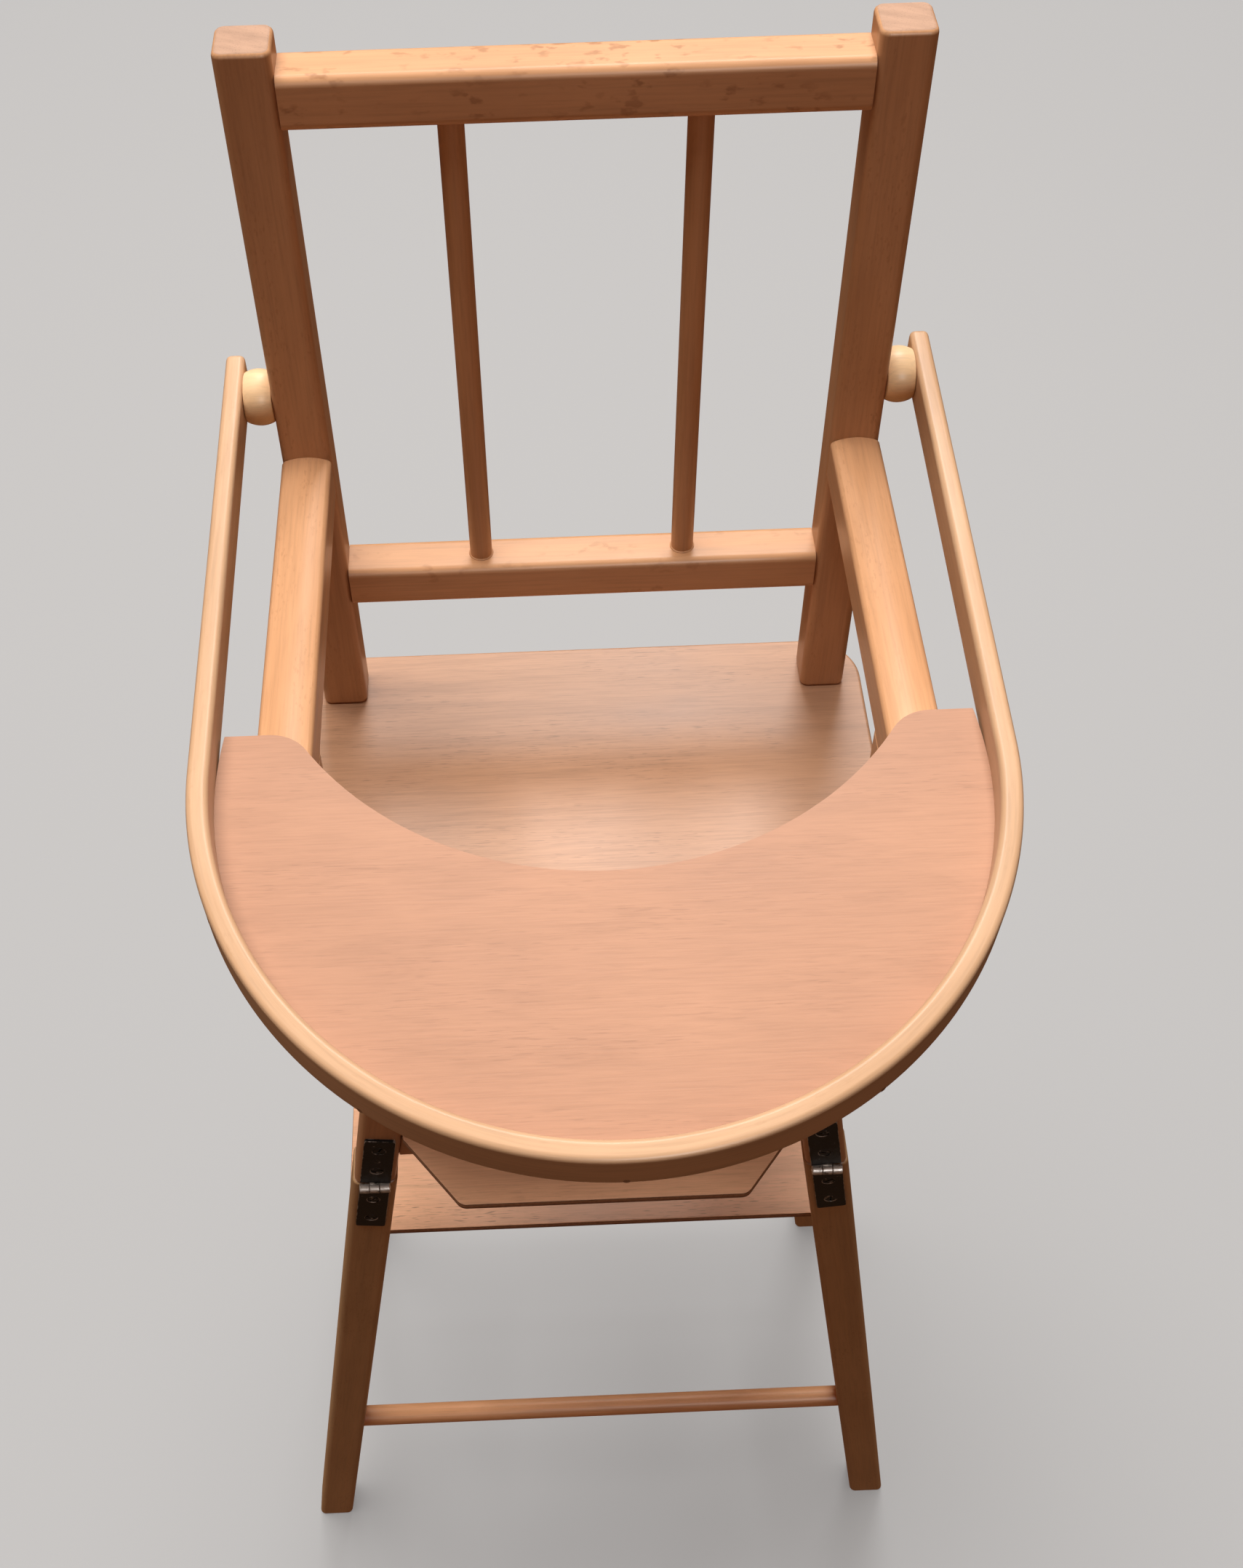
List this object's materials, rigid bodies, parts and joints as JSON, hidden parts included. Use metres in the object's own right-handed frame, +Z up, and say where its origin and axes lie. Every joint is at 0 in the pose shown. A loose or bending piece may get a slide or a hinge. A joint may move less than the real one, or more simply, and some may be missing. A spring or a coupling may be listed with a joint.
{
  "type": "doll high chair",
  "caption": "Folding wooden doll's high chair with splayed legs, a railed back, a bentwood tray that swings over the back, a footrest, and a stand hinged at the front.",
  "frame": {"origin": "on the floor, under the middle of the whole chair", "axes": "+Z up, the chair and its tray face -Y, +X is to the right when it is seen from the front"},
  "size_m": [0.2472, 0.2435, 0.627],
  "materials": {
    "frame_wood": "satin varnish",
    "board_wood": "satin varnish",
    "rim_wood": "satin varnish",
    "bar_wood": "satin varnish",
    "bead_wood": "satin varnish",
    "hinge_steel": "darkened",
    "screw_steel": "dull"
  },
  "bodies": {
    "chair": {"left_back_post": "frame_wood", "right_back_post": "frame_wood", "top_rail": "frame_wood", "lower_back_rail": "frame_wood", "left_spindle": "bar_wood", "right_spindle": "bar_wood", "seat_board": "board_wood", "left_arm": "frame_wood", "right_arm": "frame_wood", "left_arm_support": "frame_wood", "right_arm_support": "frame_wood", "left_front_upper_leg": "frame_wood", "right_front_upper_leg": "frame_wood", "left_rear_upper_leg": "frame_wood", "right_rear_upper_leg": "frame_wood", "front_apron": "frame_wood", "rear_apron": "frame_wood", "left_apron": "frame_wood", "right_apron": "frame_wood", "footrest_board": "board_wood", "footrest_batten": "frame_wood", "left_tray_bead": "bead_wood", "right_tray_bead": "bead_wood", "tray_pivot_screws": "screw_steel", "left_upper_hinge_leaf": "hinge_steel", "right_upper_hinge_leaf": "hinge_steel", "hinge_pins": "screw_steel", "upper_hinge_screws": "screw_steel"},
    "stand": {"left_front_stand_leg": "frame_wood", "right_front_stand_leg": "frame_wood", "left_rear_stand_leg": "frame_wood", "right_rear_stand_leg": "frame_wood", "shelf_board": "board_wood", "left_shelf_bearer": "frame_wood", "right_shelf_bearer": "frame_wood", "front_bar": "bar_wood", "rear_bar": "bar_wood", "left_side_bar": "bar_wood", "right_side_bar": "bar_wood", "left_lower_hinge_leaf": "hinge_steel", "right_lower_hinge_leaf": "hinge_steel", "lower_hinge_screws": "screw_steel"},
    "tray": {"tray_rim": "rim_wood", "tray_board": "board_wood", "tray_brads": "screw_steel"}
  },
  "joints": [
    {"name": "tray_swing", "type": "hinge", "parent": "chair", "child": "tray", "pos_m": [0, 0.0881, 0.5326], "axis": [-1, 0, 0], "range_deg": [0, 250]},
    {"name": "stand_fold", "type": "hinge", "parent": "chair", "child": "stand", "pos_m": [0, -0.0182, 0.3125], "axis": [-1, 0, 0], "range_deg": [0, 150]}
  ]
}
